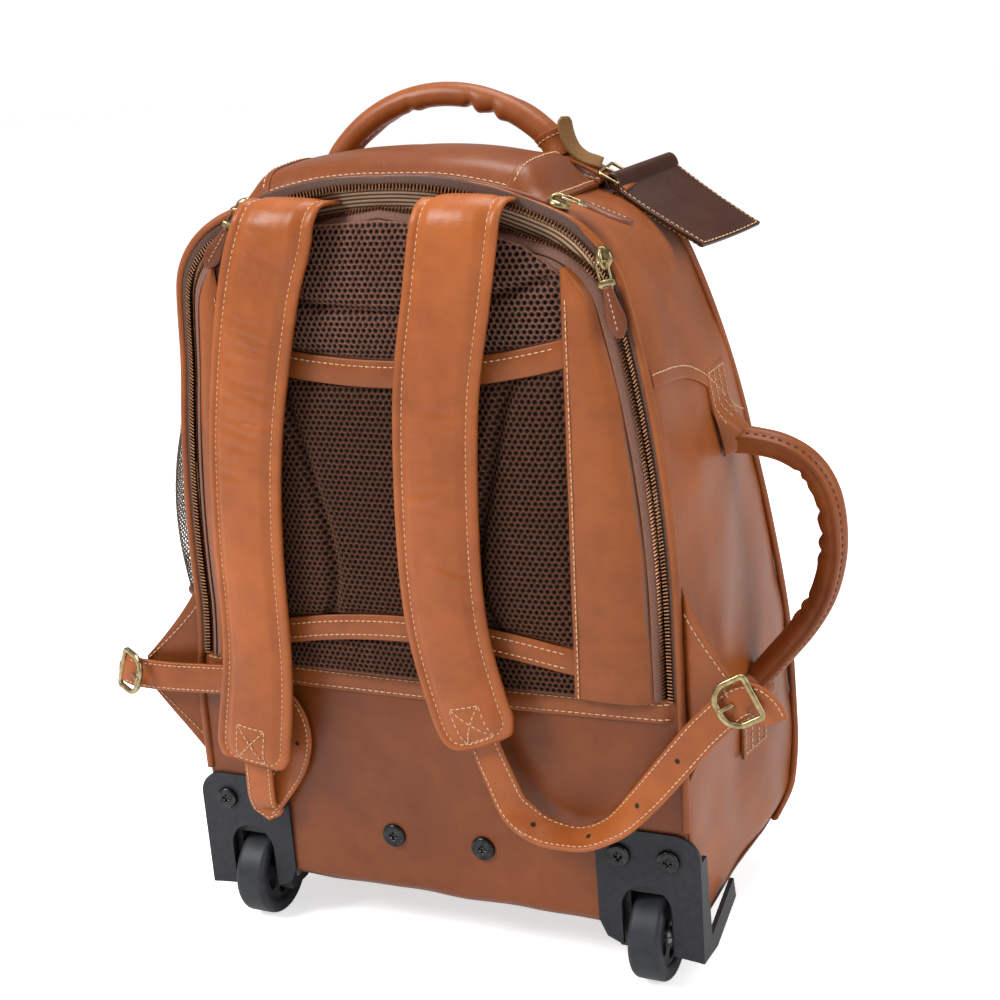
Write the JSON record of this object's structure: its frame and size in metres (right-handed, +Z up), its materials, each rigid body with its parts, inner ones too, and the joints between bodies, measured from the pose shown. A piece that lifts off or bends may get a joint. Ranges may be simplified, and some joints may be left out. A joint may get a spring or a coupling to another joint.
{
  "type": "rolling laptop case",
  "caption": "Leather wheeled laptop backpack with padded shoulder straps, mesh back panel, telescoping trolley handle, rolled carry handles and two inline wheels.",
  "frame": {"origin": "on the floor, under the middle of the whole object's bounding box", "axes": "+Z up; the shoulder straps and wheels face -Y, the front pocket faces +Y; the side carry handle is on +X"},
  "size_m": [0.4736, 0.2574, 0.5525],
  "materials": {
    "leather": "smooth cognac cowhide, waxed",
    "dark_leather": "dark red-brown cowhide",
    "air_mesh": "brown spacer mesh",
    "net": "open brown net",
    "lining": "brown and cream striped lining",
    "board": "stiffener board",
    "zip": "antique brass coil teeth on brown tape",
    "brass": "brushed antique brass",
    "bracket_paint": "matte charcoal powder coat",
    "black_steel": "black oxide, glossy",
    "axle_steel": "zinc plated",
    "black_plastic": "moulded black",
    "tyre": "charcoal rubber",
    "tube_aluminium": "anodised"
  },
  "bodies": {
    "case": {"case_shell": "leather", "trolley_board": "board", "inner_divider": "lining", "gap_lining": "lining", "back_panel": "leather", "back_zip_panel_row": "zip", "back_zip_case_row": "zip", "upper_mesh_pad": "air_mesh", "upper_panel_band": "leather", "spine_mesh_pad": "air_mesh", "lower_panel_band": "leather", "lumbar_mesh_pad": "air_mesh", "panel_side_strips": "leather", "back_piping": "leather", "front_piping": "leather", "bottle_pocket": "net", "pocket_binding": "leather", "shoulder_strap_l": "leather", "shoulder_strap_r": "leather", "lower_strap_l": "leather", "lower_strap_r": "leather", "strap_tabs": "leather", "strap_buckles": "brass", "buckle_prongs": "brass", "wheel_bracket_l": "bracket_paint", "wheel_bracket_r": "bracket_paint", "wheel_housings": "black_plastic", "wheel_axles": "axle_steel", "bracket_screws": "black_steel", "trolley_bolts": "black_steel", "front_feet": "black_plastic", "trolley_outer_tubes": "tube_aluminium", "trolley_base": "black_plastic", "top_cover": "leather", "handle_tabs": "leather"},
    "wheel_l": {"tyre_l": "tyre", "hub_l": "black_plastic", "bearings_l": "axle_steel"},
    "wheel_r": {"tyre_r": "tyre", "hub_r": "black_plastic", "bearings_r": "axle_steel"},
    "trolley_mid": {"trolley_mid_tubes": "tube_aluminium"},
    "trolley_grip": {"trolley_inner_tubes": "tube_aluminium", "trolley_grip": "black_plastic"},
    "release_button": {"release_button": "black_plastic"},
    "top_handle": {"top_handle": "leather"},
    "side_handle": {"side_handle": "leather"},
    "luggage_tag": {"luggage_tag": "dark_leather", "tag_strap": "leather", "tag_buckle": "brass"},
    "back_r_slider": {"back_r_slider": "brass"},
    "back_r_pull": {"back_r_pull": "leather"},
    "back_l_slider": {"back_l_slider": "brass"},
    "back_l_pull": {"back_l_pull": "leather"},
    "cover_slider": {"cover_slider": "brass"},
    "cover_pull": {"cover_pull": "leather"},
    "front_panel": {"front_panel": "leather", "front_pocket": "leather", "front_slider": "brass"},
    "front_pull": {"front_pull": "leather"}
  },
  "joints": [
    {"name": "wheel_l_spin", "type": "hinge", "parent": "case", "child": "wheel_l", "pos_m": [-0.15183, -0.08227, 0.0305], "axis": [1, 0, 0], "continuous": true},
    {"name": "wheel_r_spin", "type": "hinge", "parent": "case", "child": "wheel_r", "pos_m": [0.13217, -0.08227, 0.0305], "axis": [1, 0, 0], "continuous": true},
    {"name": "trolley_mid_slide", "type": "slide", "parent": "case", "child": "trolley_mid", "axis": [0, 0, 1], "range_m": [0, 0.25], "deforming": ["top_cover"]},
    {"name": "trolley_grip_slide", "type": "slide", "parent": "trolley_mid", "child": "trolley_grip", "axis": [0, 0, 1], "range_m": [0, 0.25], "deforming": ["top_cover"]},
    {"name": "release_button_press", "type": "slide", "parent": "trolley_grip", "child": "release_button", "axis": [0, 0, -1], "range_m": [0, 0.003], "stiffness_N_per_m": 400},
    {"name": "top_handle_swing", "type": "hinge", "parent": "case", "child": "top_handle", "pos_m": [-0.00983, -0.00607, 0.509], "axis": [1, 0, 0], "range_deg": [-70, 45], "stiffness_Nm_per_rad": 0.15},
    {"name": "luggage_tag_swing", "type": "hinge", "parent": "case", "child": "luggage_tag", "pos_m": [0.07717, -0.00607, 0.508], "axis": [0, 1, 0], "range_deg": [-60, 0]},
    {"name": "front_panel_open", "type": "hinge", "parent": "case", "child": "front_panel", "pos_m": [-0.00983, 0.10723, 0.072], "axis": [1, 0, 0], "range_deg": [-95, 0]},
    {"name": "side_handle_swing", "type": "hinge", "parent": "case", "child": "side_handle", "pos_m": [0.17867, -0.00207, 0.326], "axis": [0, -0.1008, 0.9949], "range_deg": [-70, 70], "stiffness_Nm_per_rad": 0.15},
    {"name": "back_r_slider_travel", "type": "hinge", "parent": "case", "child": "back_r_slider", "pos_m": [-0.97179, -0.10107, 0.228], "axis": [0, 1, 0], "range_deg": [0, 12.99]},
    {"name": "back_l_slider_travel", "type": "hinge", "parent": "case", "child": "back_l_slider", "pos_m": [-0.07687, -0.10107, 0.41832], "axis": [0, 1, 0], "range_deg": [-64.16, 0]},
    {"name": "cover_slider_travel", "type": "hinge", "parent": "case", "child": "cover_slider", "pos_m": [-0.00983, -0.09387, 0.17984], "axis": [0, 1, 0], "range_deg": [-38.91, 0]},
    {"name": "back_r_pull_swing", "type": "hinge", "parent": "back_r_slider", "child": "back_r_pull", "pos_m": [0.12867, -0.10777, 0.45216], "axis": [0.9766, 0, 0.2149], "range_deg": [-100, 0]},
    {"name": "back_l_pull_swing", "type": "hinge", "parent": "back_l_slider", "child": "back_l_pull", "pos_m": [-0.10519, -0.10777, 0.48452], "axis": [0.7828, 0, -0.6222], "range_deg": [-100, 0]},
    {"name": "cover_pull_swing", "type": "hinge", "parent": "cover_slider", "child": "cover_pull", "pos_m": [0.10765, -0.09387, 0.49064], "axis": [0, 1, 0], "range_deg": [-100, 0]},
    {"name": "front_pull_swing", "type": "hinge", "parent": "front_panel", "child": "front_pull", "pos_m": [-0.06983, 0.01903, 0.47786], "axis": [-1, 0, 0], "range_deg": [-100, 0]}
  ]
}
